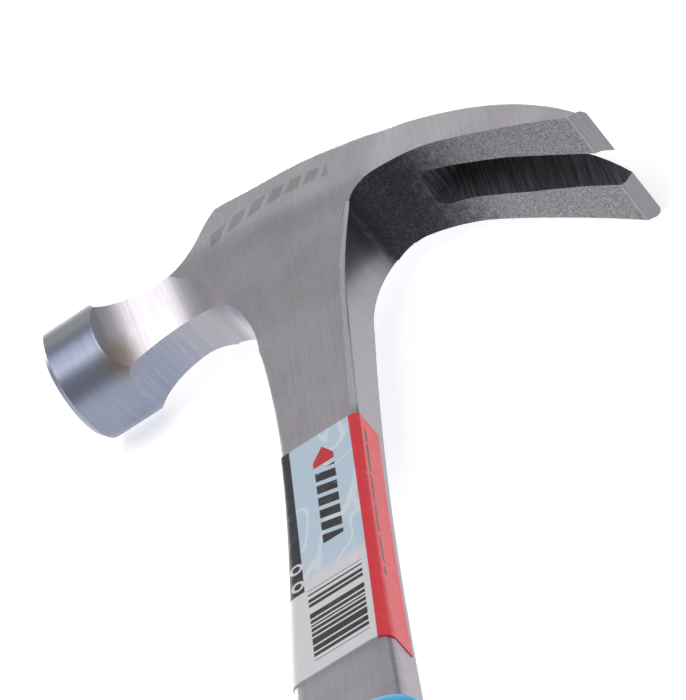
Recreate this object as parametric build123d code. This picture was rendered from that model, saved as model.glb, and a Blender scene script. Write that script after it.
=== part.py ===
from build123d import *
import math
import os

# One-piece claw hammer, lying on its side. All sizes are in millimetres.
# The design frame has x = 0 on the striking face and x towards the claw, y = 0 on the
# axis of the poll and y towards the top of the head, and z = 0 on the middle plane.
# The finished pieces are moved once, so that the origin is under the middle of the box.

# Overall
head_length = 138.6
head_top = 20.4
overall_length = 337.6

# Striking face, bell and neck
face_diameter = 29.0
face_chamfer = 1.4
bell_length = 14.0
waist_x = 29.5
waist_top = 8.6
waist_reach_under = 8.95
waist_reach_side = 8.3
waist_reach_upper = 9.2
neck_twist = 11.0
side_facet_tilt = 21.0
upper_facet_tilt = 27.3
under_facet_end = (44.5, 16.6)
side_facet_end = (44.0, 14.2)
upper_facet_end = (42.0, 13.6)
upper_facet_crest = (55.0, 17.0)
side_hollow = 1.6
under_hollow = 4.5
under_start_x = 15.3

# Throat between neck and shank
throat_x = 38.0
throat_y = -12.3

# Cheeks and crown of the head
cheek_thickness = 20.4
cheek_slant = 16.0
relief_x = 60.0
relief_turn = 11.0
relief_drop = 1.3
relief_length = 36.0
relief_start_x = 33.0
relief_lead = 26.0
relief_end_x = 84.0
shoulder_x = 41.5
crown_x = 53.0
crown_across = 4.0
crown_down = 9.0
crown_tip_across = 3.0
crown_tip_down = 2.2
crown_start = 0.07
crown_fade_start = 0.4
crown_sections = 12
crown_lift = 0.3

# Claws
root_end_x = 79.6
root_end_y = -14.2
root_bevel = (1.1, 0.4)
root_bevel_lift = 0.02
claw_start_x = 87.2
claw_start_y = -10.4
claw_bend_x = 92.0
claw_bend_y = 8.2
claw_inner_x = 104.0
claw_inner_y = -18.6
claw_tip_bevel = 3.7
claw_tip_y = -47.6
claw_spread = 31.2
flare_start_x = 82.0
flare_blend = 8.0

# Nail slot between the claws
slot_start = 0.21
slot_rounding = 0.025
slot_rim_depth = 1.6
slot_rim_step = 1.1
slot_root_depth = 14.5
slot_mid_depth = 9.0
slot_tip_depth = 3.9
slot_width = 10.0
slot_root_gap = 2.4
slot_mouth_gap = 7.4
slot_overrun = 4.0

# Shank
shank_front_x = 51.2
shank_back_x = 73.2
shank_joint_y = -44.0
shank_thickness = 11.6
shank_upper_y = -80.0
shank_upper_front_x = 53.1
shank_upper_back_x = 71.9
shank_upper_thickness = 10.6
shank_mid_y = -125.0
shank_mid_front_x = 51.9
shank_mid_back_x = 71.5
shank_mid_thickness = 10.8
shank_end_front_x = 48.8
shank_end_back_x = 72.8
shank_end_thickness = 12.6
joint_front_round = (0.5, 0.4)
joint_back_round = (2.6, 0.8)
upper_front_round = (1.0, 0.8)
upper_back_round = (2.8, 1.1)
mid_front_round = (1.8, 1.4)
mid_back_round = (3.6, 2.0)
end_front_round = (3.0, 2.2)
end_back_round = (6.0, 3.8)

# Tang inside the grip
tang_width = 14.0
tang_thickness = 7.0
tang_end_y = -290.0
tang_fit = 0.1

# Label round the shank
label_top_y = -84.7
label_length = 74.8
label_film = 0.2
label_far_margin = 4.0
label_seam_z = 2.2

# Grip
grip_top_y = -178.5
grip_lap = 9.0
grip_wall = 1.6
grip_swell_width = 31.0
grip_swell_thickness = 25.0
grip_waist_width = 27.5
grip_waist_thickness = 23.5
grip_butt_width = 35.0
grip_butt_thickness = 29.6
hang_hole_diameter = 8.0
hang_hole_edge = 9.0
butt_block = 16.0
swell_along = 0.22
waist_along = 0.52
flare_along = 0.16
butt_round = 3.0

half_cheek = cheek_thickness / 2
half_spread = claw_spread / 2
face_radius = face_diameter / 2
butt_y = head_top - overall_length
grip_length = grip_top_y - butt_y
grip_centre_x = (shank_end_front_x + shank_end_back_x) / 2
shoulder_y = waist_top + (head_top - waist_top) * (shoulder_x - waist_x) / (crown_x - waist_x)
bell_stock_x = 24.0
bell_stock_length = waist_x + 0.5
stock = 60.0


def side_curves():
    """Curves of the side view, each from its left or upper end."""
    neck_top = ThreePointArc((bell_length - 4, face_radius + 3.2), (waist_x - 9, waist_top + 2.2),
                             (waist_x, waist_top))
    shoulder = TangentArc(neck_top @ 1, (shoulder_x, shoulder_y), tangent=(1, 0))
    crown_rise = TangentArc((crown_x, head_top), shoulder @ 1, tangent=(-1, 0))
    top = TangentArc((crown_x, head_top), (claw_bend_x, claw_bend_y), tangent=(1, 0))
    claw_top = TangentArc(top @ 1, (head_length, claw_tip_y), tangent=top % 1)
    root = TangentArc((shank_back_x, shank_joint_y), (root_end_x, root_end_y), tangent=(0, 1))
    root_round = TangentArc(root @ 1, (claw_start_x, claw_start_y), tangent=root % 1)
    claw_inner = TangentArc(root_round @ 1, (claw_inner_x, claw_inner_y), tangent=root_round % 1)
    claw_reach = TangentArc(claw_inner @ 1, (head_length - claw_tip_bevel, claw_tip_y + 0.5),
                            tangent=claw_inner % 1)
    return neck_top, shoulder, crown_rise, top, claw_top, root, root_round, claw_inner, claw_reach


def head_side():
    """Side view of head, claws and upper shank as one face."""
    neck_top, shoulder, crown_rise, top, claw_top, root, root_round, claw_inner, claw_reach = side_curves()
    with BuildSketch() as sketch:
        with BuildLine():
            add(neck_top)
            add(shoulder)
            add(crown_rise)
            add(top)
            add(claw_top)
            Line(claw_top @ 1, claw_reach @ 1)
            add(claw_reach)
            add(claw_inner)
            add(root_round)
            add(root)
            Line((shank_back_x, shank_joint_y), (shank_front_x, shank_joint_y))
            front = TangentArc((shank_front_x, shank_joint_y), (shank_front_x - 3.6, shank_joint_y + 20),
                               tangent=(0, 1))
            under = TangentArc(front @ 1, (throat_x, throat_y), tangent=front % 1)
            Polyline(under @ 1, (throat_x, -stock / 2), (-1, -stock / 2), (-1, stock / 2), neck_top @ 0)
        make_face()
    return sketch.sketch


def neck_facet(start_x, hollow_run, waist_reach, end, tilt, crest=None):
    """Everything inside one ground facet of the neck, tilted about the axis of the poll."""
    with BuildSketch() as sketch:
        with BuildLine():
            rim = (start_x - 0.5, face_radius + 0.3)
            steep = (start_x + hollow_run, waist_reach + 0.8)
            hollow = Bezier(rim, steep, (waist_x, waist_reach))
            last = TangentArc(hollow @ 1, end, tangent=hollow % 1)
            if crest:
                last = TangentArc(last @ 1, crest, tangent=last % 1)
            Polyline(last @ 1, ((last @ 1).X + 6, stock), (2 * head_length, stock), (2 * head_length, -stock),
                     (-1, -stock), (-1, stock), (start_x - 10, stock), hollow @ 0)
        make_face()
    slab = extrude(sketch.sketch, amount=2 * stock, both=True)
    return slab.rotate(Axis.X, 90 + tilt)


def relief_half(point):
    """Half thickness of the cheek at a point of the side view, where it thins out to the shank."""
    slant = math.radians(cheek_slant)
    below = -(point.X - relief_x) * math.sin(slant) - point.Y * math.cos(slant)
    if below < relief_turn:
        radius = (relief_turn ** 2 + relief_drop ** 2) / (2 * relief_drop)
        return half_cheek - radius + math.sqrt(radius ** 2 - max(0.0, below) ** 2)
    run = relief_length - relief_turn
    rise = half_cheek - relief_drop - shank_thickness / 2
    radius = (run ** 2 + rise ** 2) / (2 * rise)
    return shank_thickness / 2 + radius - math.sqrt(radius ** 2 - max(0.0, relief_length - below) ** 2)


def cheek_relief():
    """Waste outside the cheeks, which thin out smoothly towards the shank."""
    half_shank = shank_thickness / 2
    with BuildSketch(Plane.YZ) as sketch:
        with BuildLine():
            convex = TangentArc((0, half_cheek), (-relief_turn, half_cheek - relief_drop), tangent=(-1, 0))
            concave = TangentArc((-relief_length, half_shank), convex @ 1, tangent=(1, 0))
            Polyline((-relief_length, half_shank), (-2 * stock, half_shank), (-2 * stock, stock), (0, stock),
                     (0, half_cheek))
        make_face()
    waste = extrude(sketch.sketch, amount=3 * stock, both=True)
    waste = waste.rotate(Axis.Z, -cheek_slant)
    waste = waste.translate((relief_x, 0, 0))
    with BuildSketch(Plane.XZ) as plan:
        with BuildLine():
            Polyline((relief_start_x, half_cheek), (relief_start_x + relief_lead, 0), (relief_end_x, 0),
                     (relief_end_x, stock), (relief_start_x, stock), (relief_start_x, half_cheek))
        make_face()
    return waste & extrude(plan.sketch, amount=3 * stock, both=True)


def flare_slope():
    """Slope at which each claw flares, past its short blend."""
    return (half_spread - half_cheek) / (head_length - flare_start_x - flare_blend / 2)


def half_width(x):
    """Half thickness of cheek and claws at x."""
    run = max(0.0, x - flare_start_x)
    blended = min(run, flare_blend)
    return half_cheek + flare_slope() * (blended ** 2 / (2 * flare_blend) + run - blended)


def body_stock():
    """Stock of cheeks and claws seen from above."""
    end_x = head_length + 1
    blend_x = flare_start_x + flare_blend
    with BuildSketch(Plane.XZ) as plan:
        with BuildLine():
            blend = TangentArc((flare_start_x, half_cheek), (blend_x, half_width(blend_x)), tangent=(1, 0))
            Polyline(blend @ 1, (end_x, half_width(end_x)), (end_x, 0), (bell_stock_x, 0),
                     (bell_stock_x, half_cheek), blend @ 0)
        make_face()
    half_body = extrude(plan.sketch, amount=2 * stock, both=True)
    return half_body + mirror(half_body, about=Plane.XY)


def bell():
    """Round bell with its chamfered striking face."""
    blank = Cylinder(face_radius, bell_stock_length, align=(Align.CENTER, Align.CENTER, Align.MIN))
    blank = chamfer(blank.edges().sort_by(Axis.Z)[0], face_chamfer)
    return blank.rotate(Axis.Y, 90)


def corner_section(point, tangent, across, down, corner_z, side_z, lift):
    """Waste outside the rounded corner, in the plane across it."""
    normal = Vector(-tangent.Y, tangent.X)
    spare = 3.0

    def at(z, height):
        return point + normal * height + Vector(0, 0, z)

    edge = at(corner_z - across, lift)
    side = at(side_z + lift / 2, -down)
    with BuildLine() as outline:
        Bezier(edge, at(corner_z, 0), side)
        Polyline(side, at(side_z + spare, -down), at(side_z + spare, spare), at(corner_z - across, spare),
                 edge)
    return Face(outline.wires()[0])


def crown_waste():
    """Waste above the rounded corner that runs along the top of head and claws."""
    shoulder, crown_rise, top, claw_top = side_curves()[1:5]
    path = Wire([shoulder, crown_rise, top, claw_top])
    sections = []
    for index in range(crown_sections + 1):
        along = crown_start + (1 - crown_start) * index / crown_sections
        grow = min(1.0, (index + 0.3) / 2)
        fade = max(0.0, (along - crown_fade_start) / (1 - crown_fade_start))
        across = grow * (crown_across + (crown_tip_across - crown_across) * fade)
        down = grow * (crown_down + (crown_tip_down - crown_down) * fade)
        point = path @ along
        tangent = path % along
        if tangent.X < 0:
            tangent = tangent * -1
        side_x = point.X + tangent.Y * down
        sections.append(corner_section(point, tangent, across, down, half_width(point.X), half_width(side_x),
                                       crown_lift))
    return loft(sections)


def root_waste():
    """Waste outside the narrow bevel that runs from the root of the claws down the back of the shank."""
    root = side_curves()[5]
    sections = []
    for along in (0.0, 0.35, 0.7, 1.0):
        point = root @ along
        across = joint_back_round[0] + (root_bevel[0] - joint_back_round[0]) * along
        deep = joint_back_round[1] + (root_bevel[1] - joint_back_round[1]) * along
        half = relief_half(point)
        side_half = relief_half(point - (root % along).rotate(Axis.Z, -90) * across)
        sections.append(corner_section(point, root % along * -1, deep, across, half, side_half,
                                       root_bevel_lift))
    return loft(sections)


def slot_section(point, tangent, gap, width, depth):
    """Section of the nail slot: narrow at the top of the claws, then a rim, then wide inside."""
    normal = Vector(-tangent.Y, tangent.X)
    above = 1.0
    below = 3.0
    rim_slope = slot_rim_step / slot_rim_depth
    rim = gap / 2 + slot_rim_step
    wall_slope = (width / 2 - rim) / (depth - slot_rim_depth)
    right_side = [(above, gap / 2 - rim_slope * above), (-slot_rim_depth, rim),
                  (-depth - below, width / 2 + wall_slope * below)]
    corners = right_side + [(height, -z) for height, z in reversed(right_side)]
    points = [point + normal * height + Vector(0, 0, z) for height, z in corners]
    return Face(Wire.make_polygon(points))


def nail_slot():
    """V-shaped slot with bevelled walls that leaves through the claw tips."""
    claw_top = side_curves()[4]
    tip = claw_top @ 1 + (claw_top % 1) * slot_overrun
    mid_gap = (slot_root_gap + slot_mouth_gap) / 2
    stations = [(slot_start, slot_root_gap, slot_width * 0.72, slot_root_depth),
                (slot_start + slot_rounding, slot_root_gap, slot_width, slot_root_depth),
                (0.6, mid_gap, slot_width, slot_mid_depth)]
    stations = [(claw_top @ t, claw_top % t, gap, width, depth) for t, gap, width, depth in stations]
    stations.append((tip, claw_top % 1, slot_mouth_gap, slot_width, slot_tip_depth))
    return loft([slot_section(*station) for station in stations], ruled=True)


def head():
    """Bell, neck, cheeks and claws down to the joint with the lower shank."""
    side = extrude(head_side(), amount=stock / 2, both=True)
    solid = (bell() + body_stock()) & side
    crown = crown_waste()
    relief = cheek_relief()
    near_side = neck_facet(bell_length, side_hollow, waist_reach_side, side_facet_end,
                           side_facet_tilt + neck_twist)
    far_side = neck_facet(bell_length, side_hollow, waist_reach_side, side_facet_end,
                          side_facet_tilt - neck_twist)
    under = neck_facet(under_start_x, under_hollow, waist_reach_under, under_facet_end, 90 + neck_twist)
    upper = neck_facet(bell_length, side_hollow, waist_reach_upper, upper_facet_end, -upper_facet_tilt,
                       upper_facet_crest)
    solid = solid & near_side & mirror(far_side, about=Plane.XY) & under
    solid = solid & upper & mirror(upper, about=Plane.XY)
    for waste in (crown, relief, root_waste()):
        solid = solid - waste - mirror(waste, about=Plane.XY)
    return solid - nail_slot()


def rounded_section(y, front, back, thickness, front_round, back_round):
    """Cross section with smooth corners, each (across, deep), in the plane at y."""
    half = thickness / 2
    plane = Plane(origin=(0, y, 0), x_dir=(1, 0, 0), z_dir=(0, -1, 0))
    corners = ((front, -half, front_round, (0, 1), (1, 0)), (back, -half, back_round, (-1, 0), (0, 1)),
               (back, half, back_round, (0, -1), (-1, 0)), (front, half, front_round, (1, 0), (0, -1)))
    ends = []
    with BuildSketch(plane) as sketch:
        with BuildLine():
            for x, z, (across, deep), enter, leave in corners:
                start = Vector(x + enter[0] * across, z + enter[1] * deep)
                finish = Vector(x + leave[0] * across, z + leave[1] * deep)
                Bezier(start, (x, z), finish)
                ends += [start, finish]
            for index in range(1, 8, 2):
                Line(ends[index], ends[(index + 1) % 8])
        make_face()
    return sketch.sketch


def shank_sections(grow):
    """Sections of the lower shank, each grown all round."""
    stations = ((shank_joint_y, shank_front_x, shank_back_x, shank_thickness, joint_front_round,
                 joint_back_round),
                (shank_upper_y, shank_upper_front_x, shank_upper_back_x, shank_upper_thickness,
                 upper_front_round, upper_back_round),
                (shank_mid_y, shank_mid_front_x, shank_mid_back_x, shank_mid_thickness, mid_front_round,
                 mid_back_round),
                (grip_top_y - grip_lap, shank_end_front_x, shank_end_back_x, shank_end_thickness,
                 end_front_round, end_back_round))
    return [rounded_section(y, front - grow, back + grow, thickness + 2 * grow, front_round, back_round)
            for y, front, back, thickness, front_round, back_round in stations]


def slab_between(high_y, low_y):
    """Tall block that keeps what lies between two heights."""
    return Box(4 * stock, high_y - low_y, stock,
               align=(Align.CENTER, Align.MAX, Align.CENTER)).translate((grip_centre_x, high_y, 0))


def tang(grow):
    """Flat bar that carries on from the shank inside the grip."""
    top_y = grip_top_y - grip_lap
    bar = Box(tang_width + 2 * grow, top_y - tang_end_y + grow, tang_thickness + 2 * grow,
              align=(Align.CENTER, Align.MAX, Align.CENTER))
    return bar.translate((grip_centre_x, top_y, 0))


def forging():
    """Head, shank and tang as one steel forging."""
    return head() + loft(shank_sections(0)) + tang(0)


def shank_label():
    """Printed film wrapped round the shank, open along the far corner of its claw side."""
    band = slab_between(label_top_y, label_top_y - label_length)
    film = (loft(shank_sections(label_film)) - loft(shank_sections(0))) & band
    bare = Box(stock, 3 * label_length, stock, align=(Align.MIN, Align.CENTER, Align.MAX))
    seam = bare.translate((shank_mid_back_x - label_far_margin, label_top_y, -label_seam_z))
    return film - seam


def grip_sleeve():
    """Soft grip moulded over the lower shank and the tang, with a hang hole in its butt."""
    collar_width = shank_end_back_x - shank_end_front_x + 2 * grip_wall
    collar_thickness = shank_end_thickness + 2 * grip_wall
    stations = ((grip_top_y, collar_width, collar_thickness, 0.75),
                (grip_top_y - 3.5, grip_swell_width - 3, grip_swell_thickness - 5, 0.8),
                (grip_top_y - swell_along * grip_length, grip_swell_width, grip_swell_thickness, 0.9),
                (grip_top_y - waist_along * grip_length, grip_waist_width, grip_waist_thickness, 0.9),
                (butt_y + butt_block + flare_along * grip_length,
                 (grip_waist_width + 2 * grip_butt_width) / 3,
                 (grip_waist_thickness + 2 * grip_butt_thickness) / 3, 0.88),
                (butt_y + butt_block, grip_butt_width, grip_butt_thickness, 0.85))
    sections = []
    for y, width, thickness, roundness in stations:
        corner = (width / 2 * roundness, thickness / 2 * roundness)
        sections.append(rounded_section(y, grip_centre_x - width / 2, grip_centre_x + width / 2, thickness,
                                        corner, corner))
    butt = extrude(sections[-1], amount=butt_block)
    butt = fillet(butt.edges().group_by(Axis.Y)[0], butt_round)
    body = loft(sections) + butt
    hole = Cylinder(hang_hole_diameter / 2, 2 * stock)
    hole = hole.translate((grip_centre_x, butt_y + hang_hole_edge, 0))
    return body - loft(shank_sections(tang_fit)) - tang(tang_fit) - hole


def main():
    """Build every piece, move it into the part frame and write it."""
    os.makedirs("parts", exist_ok=True)
    pieces = {"hammer_forging": forging(), "grip_sleeve": grip_sleeve(), "shank_label": shank_label()}
    box = Compound(list(pieces.values())).bounding_box()
    shift = (-box.center().X, -box.center().Y, -box.min.Z)
    for name, piece in pieces.items():
        export_step(piece.translate(shift), f"parts/{name}.step")


main()
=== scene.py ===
import math

import bmesh
import bpy
from mathutils import Matrix, Vector


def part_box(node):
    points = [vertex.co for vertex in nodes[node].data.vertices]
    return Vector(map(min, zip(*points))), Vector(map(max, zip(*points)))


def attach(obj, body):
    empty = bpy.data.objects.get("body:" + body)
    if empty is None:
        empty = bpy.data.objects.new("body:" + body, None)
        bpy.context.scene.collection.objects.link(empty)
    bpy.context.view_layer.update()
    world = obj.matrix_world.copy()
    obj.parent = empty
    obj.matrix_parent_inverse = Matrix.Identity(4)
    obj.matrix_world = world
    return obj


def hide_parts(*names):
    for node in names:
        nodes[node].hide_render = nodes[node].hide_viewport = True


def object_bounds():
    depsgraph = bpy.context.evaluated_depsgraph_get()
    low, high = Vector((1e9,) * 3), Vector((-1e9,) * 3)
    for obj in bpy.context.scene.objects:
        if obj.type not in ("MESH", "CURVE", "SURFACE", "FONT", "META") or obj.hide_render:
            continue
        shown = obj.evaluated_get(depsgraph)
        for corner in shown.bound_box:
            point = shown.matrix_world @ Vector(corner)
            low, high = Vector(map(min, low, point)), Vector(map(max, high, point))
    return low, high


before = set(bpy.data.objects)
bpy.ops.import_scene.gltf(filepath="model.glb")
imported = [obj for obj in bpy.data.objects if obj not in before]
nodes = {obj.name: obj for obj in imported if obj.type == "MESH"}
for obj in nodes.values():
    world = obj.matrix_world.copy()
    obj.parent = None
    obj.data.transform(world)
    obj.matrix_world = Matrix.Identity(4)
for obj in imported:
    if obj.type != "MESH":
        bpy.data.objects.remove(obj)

cad_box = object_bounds()

# ---------------------------------------------------------------------------------------------
# Hammer forging: head, shank and tang drop-forged in one piece of medium carbon steel. The cheeks,
# neck, bell and shank are belt-ground bright, while the inside of the claws and the nail slot keep
# the dark grainy skin of the forging under clear lacquer.

# The maker's frame is in millimetres: x from the striking face, y from the axis of the poll, whose
# crown stands head_top above it, and z from the middle plane.
forging_low, forging_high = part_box("hammer_forging")
head_top = 20.4
face_x = cad_box[0][0] * 1000
poll_y = cad_box[1][1] * 1000 - head_top
middle_z = (forging_low[2] + forging_high[2]) * 500

# Where one finish of the forging gives way to the next, in that frame.
bell_back = 13.0
neck_back = 40.0
shank_middle = 64.0
claw_root = 78.0
slot_start = 84.0
slot_half_width = 5.3
tip_line = -46.6


def linear(hex_colour):
    """Turn an sRGB hex colour into the linear RGBA that a shader takes."""
    channels = [int(hex_colour[start:start + 2], 16) / 255 for start in (1, 3, 5)]
    return [c / 12.92 if c <= 0.04045 else ((c + 0.055) / 1.055) ** 2.4 for c in channels] + [1.0]


def add_node(tree, kind, inputs, **settings):
    """Add a node, set its properties, and feed each input a link or a value."""
    node = tree.nodes.new(kind)
    for name, value in settings.items():
        setattr(node, name, value)
    for key, value in inputs.items():
        if isinstance(value, bpy.types.NodeSocket):
            tree.links.new(value, node.inputs[key])
        else:
            node.inputs[key].default_value = value
    return node


def new_material(name):
    """Start a material and return it with its tree, its shader and the maker's-frame point."""
    material = bpy.data.materials.new(name)
    material.use_nodes = True
    tree = material.node_tree
    coordinates = add_node(tree, "ShaderNodeTexCoord", {})
    point = add_node(tree, "ShaderNodeMapping", {
        "Vector": coordinates.outputs["Object"], "Scale": (1000, 1000, 1000),
        "Location": (-face_x, -poll_y, -middle_z)})
    return material, tree, tree.nodes["Principled BSDF"], point.outputs["Vector"]


def zone(tree, *limits, strength=1.0):
    """Mask of a zone. Each limit is a value, where the zone starts and where it is full on."""
    mask = None
    for value, start, full in limits:
        edge = add_node(tree, "ShaderNodeMapRange", {
            "Value": value, "From Min": start, "From Max": full, "To Max": strength if mask is None else 1.0},
            interpolation_type="SMOOTHSTEP").outputs["Result"]
        mask = edge if mask is None else add_node(
            tree, "ShaderNodeMath", {0: mask, 1: edge}, operation="MULTIPLY").outputs[0]
    return mask


def paint(tree, colour, over, *limits, strength=1.0):
    """Colour with another one laid over it in the zone that the limits give."""
    return add_node(tree, "ShaderNodeMix", {0: zone(tree, *limits, strength=strength), 6: colour, 7: over},
                    data_type="RGBA").outputs[2]


# Forged medium carbon steel, belt-ground with about 120 grit and lacquered. The eye sees long fine
# lines, a violet-grey satin on the flats and a soft bright band wherever the metal turns away.
steel, tree, shader, point = new_material("forged_carbon_steel_belt_ground")
x, y, z = add_node(tree, "ShaderNodeSeparateXYZ", {0: point}).outputs
normal = add_node(tree, "ShaderNodeNewGeometry", {}).outputs["Normal"]
facing_x, facing_y, facing_z = add_node(tree, "ShaderNodeSeparateXYZ", {0: normal}).outputs
off_middle = add_node(tree, "ShaderNodeMath", {0: z}, operation="ABSOLUTE").outputs[0]
facing_aside = add_node(tree, "ShaderNodeMath", {0: facing_z}, operation="ABSOLUTE").outputs[0]

# Lines 0.15 mm apart are too fine to show, so they are drawn about 0.35 mm apart, each some 14 mm
# long. The skin's grain is about 0.5 mm, its spots 2 mm, and the clouds in the polish 11 mm.
lines_per_mm = 2.8
grains_per_mm = 2.1
spots_per_mm = 0.45
clouds_per_mm = 0.09
belt_point = add_node(tree, "ShaderNodeVectorMath", {
    0: point, 1: (lines_per_mm, lines_per_mm / 40, lines_per_mm / 40)}, operation="MULTIPLY")
belt_lines = add_node(tree, "ShaderNodeTexNoise", {
    "Vector": belt_point.outputs[0], "Scale": 1.0, "Detail": 3.0, "Roughness": 0.65}).outputs["Fac"]
cross_point = add_node(tree, "ShaderNodeMapping", {
    "Vector": point, "Rotation": (math.radians(35), 0, 0), "Scale": (0.1, 2.6, 0.09)})
cross_lines = add_node(tree, "ShaderNodeTexNoise", {
    "Vector": cross_point.outputs[0], "Scale": 1.0, "Detail": 3.0, "Roughness": 0.65}).outputs["Fac"]
clouds = add_node(tree, "ShaderNodeTexNoise", {
    "Vector": point, "Scale": clouds_per_mm, "Detail": 3.0}).outputs["Fac"]
grain = add_node(tree, "ShaderNodeTexNoise", {
    "Vector": point, "Scale": grains_per_mm, "Detail": 5.0, "Roughness": 0.7}).outputs["Fac"]
spots = add_node(tree, "ShaderNodeTexNoise", {
    "Vector": point, "Scale": spots_per_mm, "Detail": 4.0}).outputs["Fac"]

# The back of the shank is ground across, the rest along the belt.
shank_back = [(facing_x, 0.55, 0.8), (x, shank_middle, shank_middle + 3.0)]
marks = add_node(tree, "ShaderNodeMix", {
    0: zone(tree, *shank_back), 2: belt_lines, 3: cross_lines}).outputs[0]

# Forging skin: on the inside of the claws from their root to the ground tips, on a ragged patch
# above the shank, and on the walls and the end of the slot.
inside = zone(tree, (x, claw_root, claw_root + 1.5), (facing_y, -0.12, -0.3), (facing_aside, 0.75, 0.6),
              (y, tip_line - 0.4, tip_line))
ragged_y = add_node(tree, "ShaderNodeMath", {0: spots, 1: 5.0, 2: y}, operation="MULTIPLY_ADD").outputs[0]
near_root = zone(tree, (x, claw_root - 1.5, claw_root - 0.5), (ragged_y, -15.5, -12.0), (facing_x, 0.3, 0.6),
                 (x, slot_start, slot_start - 1.0))
in_slot = zone(tree, (x, slot_start, slot_start + 1.0), (off_middle, slot_half_width + 0.3, slot_half_width),
               (facing_y, 0.28, 0.18))
slot_walls = add_node(tree, "ShaderNodeMath", {
    0: zone(tree, (facing_aside, 0.3, 0.5)),
    1: zone(tree, (facing_x, 0.4, 0.6), (x, slot_start + 18.0, slot_start + 16.0))},
    operation="MAXIMUM").outputs[0]
slot = add_node(tree, "ShaderNodeMath", {0: in_slot, 1: slot_walls}, operation="MULTIPLY").outputs[0]
skin = add_node(tree, "ShaderNodeMath", {0: inside, 1: slot}, operation="MAXIMUM").outputs[0]
skin = add_node(tree, "ShaderNodeMath", {0: skin, 1: near_root}, operation="MAXIMUM").outputs[0]

# Ground steel colours: flats, bell, a band of painted shade on the bell, painted shade on the underside
# of the neck, back of the shank, faces of the claw tips and a painted highlight on the bevel down the
# back of the shank.
ground = paint(tree, linear("#D2CDD5"), linear("#DDD9DF"), (clouds, 0.3, 0.7))
bell = (x, bell_back + 3.5, bell_back)
ground = paint(tree, ground, linear("#D2D3DB"), bell)
# Painted shade: a darker blue-grey band on the bell where it faces down towards the shank.
ground = paint(tree, ground, linear("#8E95AA"), bell, (facing_y, -0.15, -0.4), (facing_y, -0.85, -0.6))
# Painted shade: the underside of the neck, which faces down the shank, is coloured a darker blue-grey that
# grows lighter towards the claws.
under_neck_painted_shade = paint(tree, linear("#9197AA"), linear("#ADACB2"), (x, neck_back / 2, neck_back - 2.0))
ground = paint(tree, ground, under_neck_painted_shade, (facing_y, -0.55, -0.8), (x, neck_back + 10.0, neck_back))
back_colour = paint(tree, linear("#A09DA3"), linear("#6E6C72"), (y, -26.0, -14.0))
ground = paint(tree, ground, back_colour, *shank_back)
ground = paint(tree, ground, linear("#929094"), (y, tip_line + 0.2, tip_line - 0.2), (facing_y, -0.5, -0.8))
# Painted highlight: a near-white strip on the bevel down the back of the shank, below the claw root.
ground = paint(tree, ground, linear("#F2F1F4"), (facing_x, 0.12, 0.25), (facing_z, 0.2, 0.4),
               (x, shank_middle + 2.0, shank_middle + 6.0), (x, claw_root + 4.0, claw_root + 2.0),
               (y, -84.0, -80.0))
ground = add_node(tree, "ShaderNodeMix", {
    0: zone(tree, (marks, 0.35, 0.72), strength=0.16), 6: ground, 7: linear("#606060")},
    data_type="RGBA", blend_type="MULTIPLY").outputs[2]

# Brown heat tint on the neck, with an edge that follows the grinding lines.
from_tint = add_node(tree, "ShaderNodeVectorMath", {
    0: point, 1: (15.5, -11.0, 5.5)}, operation="DISTANCE").outputs["Value"]
tint_edge = add_node(tree, "ShaderNodeMath", {
    0: belt_lines, 1: 6.0, 2: from_tint}, operation="MULTIPLY_ADD").outputs[0]
ground = paint(tree, ground, linear("#A08468"), (tint_edge, 9.5, 4.5), strength=0.55)

# Etched mark: a row of plain slanted bars, 5.2 mm apart, that follows the top edge of the cheek.
mark_middle = 58.0
along_mark = add_node(tree, "ShaderNodeMath", {0: x, 1: mark_middle}, operation="SUBTRACT").outputs[0]
mark_bow = add_node(tree, "ShaderNodeMath", {
    0: along_mark, 1: along_mark}, operation="MULTIPLY").outputs[0]
mark_row = add_node(tree, "ShaderNodeMath", {
    0: mark_bow, 1: 0.0125, 2: y}, operation="MULTIPLY_ADD").outputs[0]
mark_slant = add_node(tree, "ShaderNodeMath", {0: y, 1: -0.4, 2: x}, operation="MULTIPLY_ADD").outputs[0]
mark_bars = add_node(tree, "ShaderNodeMath", {0: mark_slant, 1: 2.6}, operation="PINGPONG").outputs[0]
ground = paint(tree, ground, linear("#868285"), (mark_bars, 0.75, 0.85), (mark_row, 3.6, 3.75),
               (mark_row, 8.4, 8.25), (x, 44.4, 44.6), (x, 75.8, 75.6), (facing_z, 0.9, 0.95), strength=0.45)

# Skin colours: near black at the root, a lighter speckled grey out on the prongs.
out_on_prong = add_node(tree, "ShaderNodeMath", {
    0: spots, 1: 14.0, 2: x}, operation="MULTIPLY_ADD").outputs[0]
root_skin = paint(tree, linear("#34333A"), linear("#67656C"), (grain, 0.4, 0.8))
prong_skin = paint(tree, linear("#6E6D71"), linear("#BEBDC0"), (grain, 0.3, 0.7))
slot_skin = paint(tree, linear("#403F45"), linear("#75737A"), (belt_lines, 0.35, 0.7))
skin_colour = paint(tree, root_skin, prong_skin, (out_on_prong, 97.0, 117.0))
skin_colour = add_node(tree, "ShaderNodeMix", {
    0: slot, 6: skin_colour, 7: slot_skin}, data_type="RGBA").outputs[2]
colour = add_node(tree, "ShaderNodeMix", {0: skin, 6: ground, 7: skin_colour}, data_type="RGBA").outputs[2]
tree.links.new(colour, shader.inputs["Base Color"])

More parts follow.
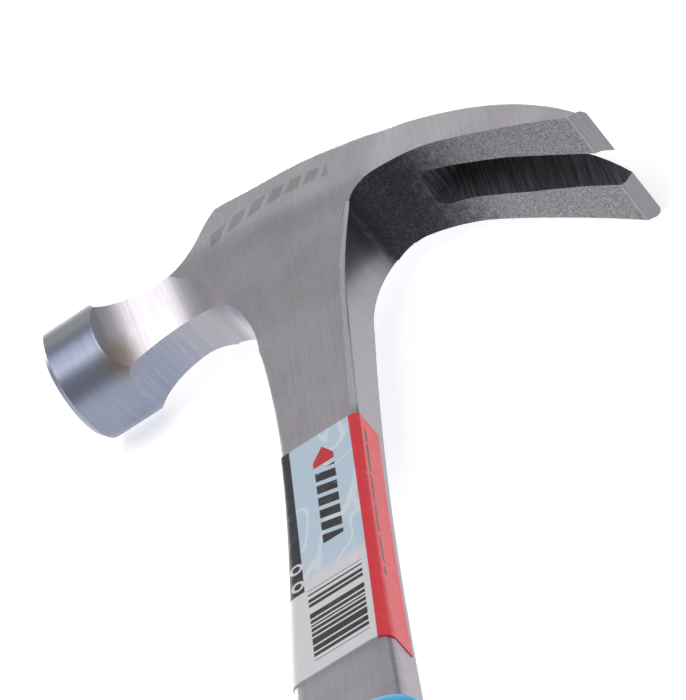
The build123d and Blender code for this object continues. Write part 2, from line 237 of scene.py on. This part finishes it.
# Roughness and relief: shallow lines on the ground steel, a coarse tooth on the skin.
ground_rough = add_node(tree, "ShaderNodeMapRange", {
    "Value": marks, "To Min": 0.26, "To Max": 0.42}).outputs[0]
rough = add_node(tree, "ShaderNodeMix", {0: skin, 2: ground_rough, 3: 0.62}).outputs[0]
tree.links.new(rough, shader.inputs["Roughness"])
metal = add_node(tree, "ShaderNodeMapRange", {"Value": skin, "To Min": 1.0, "To Max": 0.75}).outputs[0]
tree.links.new(metal, shader.inputs["Metallic"])
height = add_node(tree, "ShaderNodeMix", {0: skin, 2: marks, 3: grain}).outputs[0]
depth = add_node(tree, "ShaderNodeMix", {0: skin, 2: 0.012, 3: 0.3}).outputs[0]
relief = add_node(tree, "ShaderNodeMath", {0: height, 1: depth}, operation="MULTIPLY").outputs[0]
bump = add_node(tree, "ShaderNodeBump", {"Height": relief, "Distance": 0.001, "Strength": 0.9})
tree.links.new(bump.outputs["Normal"], shader.inputs["Normal"])
nodes["hammer_forging"].data.materials[0] = steel

# ---------------------------------------------------------------------------------------------
# Shank label: a printed vinyl film wrapped round the shank above the grip. It has a black band
# along the front edge, a pale blue and white panel with bars, and a red band round the back.

label_top = -84.7
label_foot = label_top - 74.8
emblem_x = 63.0
ink = 0.08


def between(value, low, high, soft):
    """Pair of limits for a zone from low to high whose edges are soft on either side."""
    return (value, low - soft, low + soft), (value, high + soft, high - soft)


# Gloss vinyl film with screen-printed ink: sharp colour borders, a thin clear shine and no grain.
film, tree, shader, point = new_material("printed_vinyl_film")
x, y, z = add_node(tree, "ShaderNodeSeparateXYZ", {0: point}).outputs
normal = add_node(tree, "ShaderNodeNewGeometry", {}).outputs["Normal"]
facing_x = add_node(tree, "ShaderNodeSeparateXYZ", {0: normal}).outputs[0]
near_side = (z, -0.2, 0.2)

# White paper tone with a pale blue panel, and slow waves across the panel.
wave_point = add_node(tree, "ShaderNodeVectorMath", {0: point, 1: (0.09, 0.05, 0.0)}, operation="MULTIPLY")
waves = add_node(tree, "ShaderNodeTexNoise", {
    "Vector": wave_point.outputs[0], "Scale": 1.0, "Detail": 0.0, "Distortion": 1.2}).outputs["Fac"]
panel = paint(tree, linear("#CBDFF1"), linear("#E6EFF8"), *between(waves, 0.47, 0.53, 0.02))
colour = paint(tree, linear("#EAEAEE"), panel, (y, label_foot + 28.0, label_foot + 32.5), near_side)

# Emblem: a plain wedge over a column of slanted bars.
bar_slant = add_node(tree, "ShaderNodeMath", {0: x, 1: 0.35, 2: y}, operation="MULTIPLY_ADD").outputs[0]
bar_row = add_node(tree, "ShaderNodeMath", {0: bar_slant, 1: 2.1}, operation="PINGPONG").outputs[0]
colour = paint(tree, colour, linear("#23222B"), (bar_row, 0.6, 0.75),
               *between(x, emblem_x - 2.4, emblem_x + 2.4, ink),
               *between(y, label_top - 36.8, label_top - 12.3, ink), near_side)
from_ridge = add_node(tree, "ShaderNodeMath", {0: x, 1: emblem_x - 0.1}, operation="SUBTRACT").outputs[0]
from_ridge = add_node(tree, "ShaderNodeMath", {0: from_ridge}, operation="ABSOLUTE").outputs[0]
wedge_edge = add_node(tree, "ShaderNodeMath", {
    0: from_ridge, 1: 1.6, 2: y}, operation="MULTIPLY_ADD").outputs[0]
colour = paint(tree, colour, linear("#D8202F"), (wedge_edge, label_top - 4.7, label_top - 4.9),
               (y, label_top - 10.9, label_top - 10.7),
               *between(x, emblem_x - 2.6, emblem_x + 2.4, ink), near_side)

# Stock-keeping stripes, a little over half a millimetre each, some printed and some not.
stripes_per_mm = 1.9
stripe_row = add_node(tree, "ShaderNodeMath", {0: y, 1: stripes_per_mm}, operation="MULTIPLY").outputs[0]
stripe_row = add_node(tree, "ShaderNodeMath", {0: stripe_row}, operation="FLOOR").outputs[0]
stripe = add_node(tree, "ShaderNodeTexWhiteNoise", {"W": stripe_row}, noise_dimensions="1D").outputs["Value"]
colour = paint(tree, colour, linear("#2A2930"), (stripe, 0.45, 0.47), *between(x, 55.9, 68.4, ink),
               *between(y, label_foot + 3.5, label_foot + 26.0, ink), near_side)

# Black band with two plain rings.
colour = paint(tree, colour, linear("#25242E"), (x, 55.4, 55.2), (y, label_foot + 26.4, label_foot + 26.6))
for ring_y in (label_foot + 35.0, label_foot + 29.3):
    from_ring = add_node(tree, "ShaderNodeVectorMath", {
        0: point, 1: (53.9, ring_y, 5.2)}, operation="DISTANCE").outputs["Value"]
    colour = paint(tree, colour, linear("#E9E9EE"), *between(from_ring, 1.0, 1.6, 0.12))

# Red band with one thin dashed line.
colour = paint(tree, colour, linear("#EE3140"), (x, 69.6, 69.8))
dashes = add_node(tree, "ShaderNodeMath", {0: y, 1: 5.2}, operation="PINGPONG").outputs[0]
colour = paint(tree, colour, linear("#5A1A22"), *between(z, 2.6, 3.4, ink), (facing_x, 0.5, 0.7),
               *between(y, label_top - 54.3, label_top - 4.3, ink), (dashes, 0.5, 0.6))

# Small pale rubs in the ink, and a film that doesn't lie quite flat.
wear = add_node(tree, "ShaderNodeTexNoise", {"Vector": point, "Scale": 0.8, "Detail": 6.0}).outputs["Fac"]
colour = paint(tree, colour, linear("#EDEDF0"), (wear, 0.62, 0.8), strength=0.25)
tree.links.new(colour, shader.inputs["Base Color"])
film_rough = add_node(tree, "ShaderNodeMapRange", {
    "Value": wear, "To Min": 0.28, "To Max": 0.48}).outputs[0]
tree.links.new(film_rough, shader.inputs["Roughness"])
shader.inputs["IOR"].default_value = 1.52
ripple = add_node(tree, "ShaderNodeTexNoise", {"Vector": point, "Scale": 0.35, "Detail": 2.0}).outputs["Fac"]
bump = add_node(tree, "ShaderNodeBump", {"Height": ripple, "Distance": 0.0004, "Strength": 0.35})
tree.links.new(bump.outputs["Normal"], shader.inputs["Normal"])
nodes["shank_label"].data.materials[0] = film

# ---------------------------------------------------------------------------------------------
# Grip: thermoplastic rubber moulded over the lower shank and the tang. It has a straight collar
# with a rounded shoulder, a swell for the palm, shallow finger grooves and a flared butt with a
# hang hole.

grip_low, grip_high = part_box("grip_sleeve")
grip_x = 60.8
grip_top = grip_high[1] * 1000 - poll_y
grip_butt = grip_low[1] * 1000 - poll_y
squareness = 2.6
hole_radius = 4.0
hole_up = 9.0


def place(x, y, z):
    """Point of the maker's frame, in metres in the part's frame."""
    return Vector(((x + face_x) / 1000, (y + poll_y) / 1000, (z + middle_z) / 1000))


# Each ring is its distance below the collar, its width and its thickness, in millimetres. Between
# the shoulder and the palm the section swells, and the grooves sink into it.
first_ring = (0.2, 25.6, 14.8)
rings = [(0.7, 27.6, 16.6), (2.2, 28.3, 17.6), (6.0, 28.4, 18.6), (12.0, 29.0, 21.0), (18.0, 30.0, 23.4)]
shoulder, palm, steps = 18.0, 112.0, 40
groove_start, groove_end, groove_pitch, groove_depth = 26.0, 98.0, 9.0, 1.1
for step in range(1, steps + 1):
    along = step / steps
    down = shoulder + along * (palm - shoulder)
    wide = 30.0 - 2.4 * math.sin(math.pi * along) ** 2 + 2.6 * along
    thick = 23.4 + 1.4 * math.sin(math.pi * along) + 2.2 * along
    groove = 0.0
    if groove_start < down < groove_end:
        groove = groove_depth * max(0.0, math.sin(2 * math.pi * (down - groove_start) / groove_pitch))
    rings.append((down, wide - groove, thick - groove))
rings += [(118.0, 33.6, 27.0), (124.0, 34.6, 28.4), (130.0, 35.0, 29.2), (134.5, 34.6, 28.8),
          (137.4, 32.6, 26.6), (138.5, 28.6, 22.4)]

# A thin disc of 1 mm across is widened to the first ring, and its lower face is drawn down from
# ring to ring.
grip_centre = place(grip_x, grip_top, 0)
bpy.ops.object.select_all(action="DESELECT")
bpy.ops.mesh.primitive_cylinder_add(vertices=64, radius=0.0005, depth=first_ring[0] / 1000,
                                    location=place(grip_x, grip_top - first_ring[0] / 2, 0),
                                    rotation=(math.radians(90), 0, 0))
grip = bpy.context.object
grip.name = "soft_grip"
bpy.ops.object.transform_apply(location=True, rotation=True, scale=True)
bpy.ops.object.mode_set(mode="EDIT")
bpy.ops.mesh.select_all(action="SELECT")
bpy.ops.transform.resize(value=(first_ring[1], 1, first_ring[2]), center_override=grip_centre)
mesh = bmesh.from_edit_mesh(grip.data)
for face in mesh.faces:
    face.select = face.normal.y < -0.9
bmesh.update_edit_mesh(grip.data)
before = first_ring
for ring in rings:
    bpy.ops.mesh.extrude_region_move(TRANSFORM_OT_translate={"value": (0, (before[0] - ring[0]) / 1000, 0)})
    bpy.ops.transform.resize(value=(ring[1] / before[1], 1, ring[2] / before[2]),
                             center_override=grip_centre - Vector((0, ring[0] / 1000, 0)))
    before = ring

# A round section becomes a squarer one where its corners are pushed out.
mesh = bmesh.from_edit_mesh(grip.data)
for vertex in mesh.verts:
    aside = vertex.co - grip_centre
    ring = min([first_ring] + rings, key=lambda each: abs(each[0] + aside.y * 1000))
    angle = math.atan2(aside.z / ring[2], aside.x / ring[1])
    push = (abs(math.cos(angle)) ** squareness + abs(math.sin(angle)) ** squareness) ** (-1 / squareness)
    vertex.co = Vector((grip_centre.x + aside.x * push, vertex.co.y, grip_centre.z + aside.z * push))
bmesh.update_edit_mesh(grip.data)
bpy.ops.object.mode_set(mode="OBJECT")

# Hang hole: a straight drill that widens at both ends for a countersunk mouth on each side.
hole_centre = place(grip_x, grip_butt + hole_up, 0)
bpy.ops.object.select_all(action="DESELECT")
bpy.ops.mesh.primitive_cylinder_add(vertices=48, radius=hole_radius / 1000, depth=0.026, location=hole_centre)
drill = bpy.context.object
bpy.ops.object.transform_apply(location=True, rotation=True, scale=True)
for up in (1, -1):
    bpy.ops.object.mode_set(mode="EDIT")
    mesh = bmesh.from_edit_mesh(drill.data)
    for face in mesh.faces:
        face.select = face.normal.z * up > 0.9
    bmesh.update_edit_mesh(drill.data)
    for rise, grow in ((0.0006, 1.08), (0.0006, 1.1), (0.004, 1.5)):
        bpy.ops.mesh.extrude_region_move(TRANSFORM_OT_translate={"value": (0, 0, up * rise)})
        bpy.ops.transform.resize(value=(grow, grow, 1), center_override=hole_centre)
    bpy.ops.object.mode_set(mode="OBJECT")
cut = grip.modifiers.new("hang_hole", "BOOLEAN")
cut.operation = "DIFFERENCE"
cut.solver = "EXACT"
cut.object = drill
bpy.ops.object.select_all(action="DESELECT")
grip.select_set(True)
bpy.context.view_layer.objects.active = grip
bpy.ops.object.modifier_apply(modifier=cut.name)
bpy.data.objects.remove(drill)
bpy.ops.object.shade_smooth_by_angle(angle=math.radians(38))

# Thermoplastic rubber, moulded in a spark-eroded tool: saturated blue, satin, with a fine even
# tooth of about 0.3 mm, drawn 0.5 mm wide so that it shows.
teeth_per_mm = 2.0
rubber, tree, shader, point = new_material("thermoplastic_rubber_moulded_blue")
y = add_node(tree, "ShaderNodeSeparateXYZ", {0: point}).outputs[1]
tooth = add_node(tree, "ShaderNodeTexNoise", {
    "Vector": point, "Scale": teeth_per_mm, "Detail": 4.0}).outputs["Fac"]
rubbed = add_node(tree, "ShaderNodeTexNoise", {"Vector": point, "Scale": 0.06, "Detail": 3.0}).outputs["Fac"]
colour = paint(tree, linear("#1FA3EA"), linear("#38B4F2"), (rubbed, 0.3, 0.7))
colour = paint(tree, colour, linear("#6BD0FF"), (y, grip_top - 2.5, grip_top - 0.5))
tree.links.new(colour, shader.inputs["Base Color"])
rubber_rough = add_node(tree, "ShaderNodeMapRange", {
    "Value": rubbed, "To Min": 0.38, "To Max": 0.55}).outputs[0]
tree.links.new(rubber_rough, shader.inputs["Roughness"])
shader.inputs["IOR"].default_value = 1.5
bump = add_node(tree, "ShaderNodeBump", {"Height": tooth, "Distance": 0.0002, "Strength": 0.3})
tree.links.new(bump.outputs["Normal"], shader.inputs["Normal"])
grip.data.materials.clear()
grip.data.materials.append(rubber)
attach(grip, "root")
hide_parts("grip_sleeve")

# ---------------------------------------------------------------------------------------------
# Floor, light and camera: a white table that the hammer lies on, a big soft box above it, a low
# strip light behind it and a long lens.

bpy.ops.object.select_all(action="DESELECT")
bpy.ops.mesh.primitive_plane_add(size=8, location=(0, 0, 0))
floor = bpy.context.object
floor.name = "white_table"

# White melamine laminate, pressed with a matt plate: even and without grain. It glows a little, as
# a table does that is lit from below.
laminate = bpy.data.materials.new("white_laminate_matt")
laminate.use_nodes = True
shader = laminate.node_tree.nodes["Principled BSDF"]
shader.inputs["Base Color"].default_value = linear("#FAFAFB")
shader.inputs["Emission Color"].default_value = linear("#FFFFFF")
shader.inputs["Emission Strength"].default_value = 0.5
shader.inputs["Roughness"].default_value = 0.7
floor.data.materials.append(laminate)

scene = bpy.context.scene
studio = bpy.data.worlds.new("studio")
scene.world = studio
studio.use_nodes = True
studio.node_tree.nodes["Background"].inputs["Color"].default_value = (1, 1, 1, 1)
studio.node_tree.nodes["Background"].inputs["Strength"].default_value = 0.36

# Each lamp is its name, place, width, height, power in watts and the point that it faces.
lamps = [("overhead_soft_box", (-0.15, -0.15, 1.0), 0.9, 0.9, 4.2, (0, 0, 0)),
         ("back_strip", (-0.35, 1.6, 0.13), 2.6, 0.22, 11.0, (0, 0.1, 0.02))]
for name, spot, width, tall, power, aim in lamps:
    light = bpy.data.lights.new(name, "AREA")
    light.energy = power
    light.shape = "RECTANGLE"
    light.size = width
    light.size_y = tall
    lamp = bpy.data.objects.new(name, light)
    scene.collection.objects.link(lamp)
    lamp.location = spot
    lamp.visible_camera = False
    lamp.rotation_euler = (Vector(aim) - Vector(spot)).to_track_quat("-Z", "Y").to_euler()

# The camera stands past the butt on the claw side, looks down at the head along the shank, and is
# rolled so that the shank runs down the frame.
camera_data = bpy.data.cameras.new("camera")
camera_data.sensor_width = 36.0
camera_data.lens = 205.7
camera_data.clip_end = 10.0
camera = bpy.data.objects.new("camera", camera_data)
scene.collection.objects.link(camera)
right = Vector((0.816, -0.076, -0.573)).normalized()
down = Vector((-0.519, -0.532, -0.668))
down = (down - right * down.dot(right)).normalized()
forward = right.cross(down)
stand = place(279.6, -753.3, 394.6)
camera.matrix_world = Matrix((
    (right.x, -down.x, -forward.x, stand.x),
    (right.y, -down.y, -forward.y, stand.y),
    (right.z, -down.z, -forward.z, stand.z),
    (0, 0, 0, 1)))
scene.camera = camera
scene.view_settings.view_transform = "Standard"
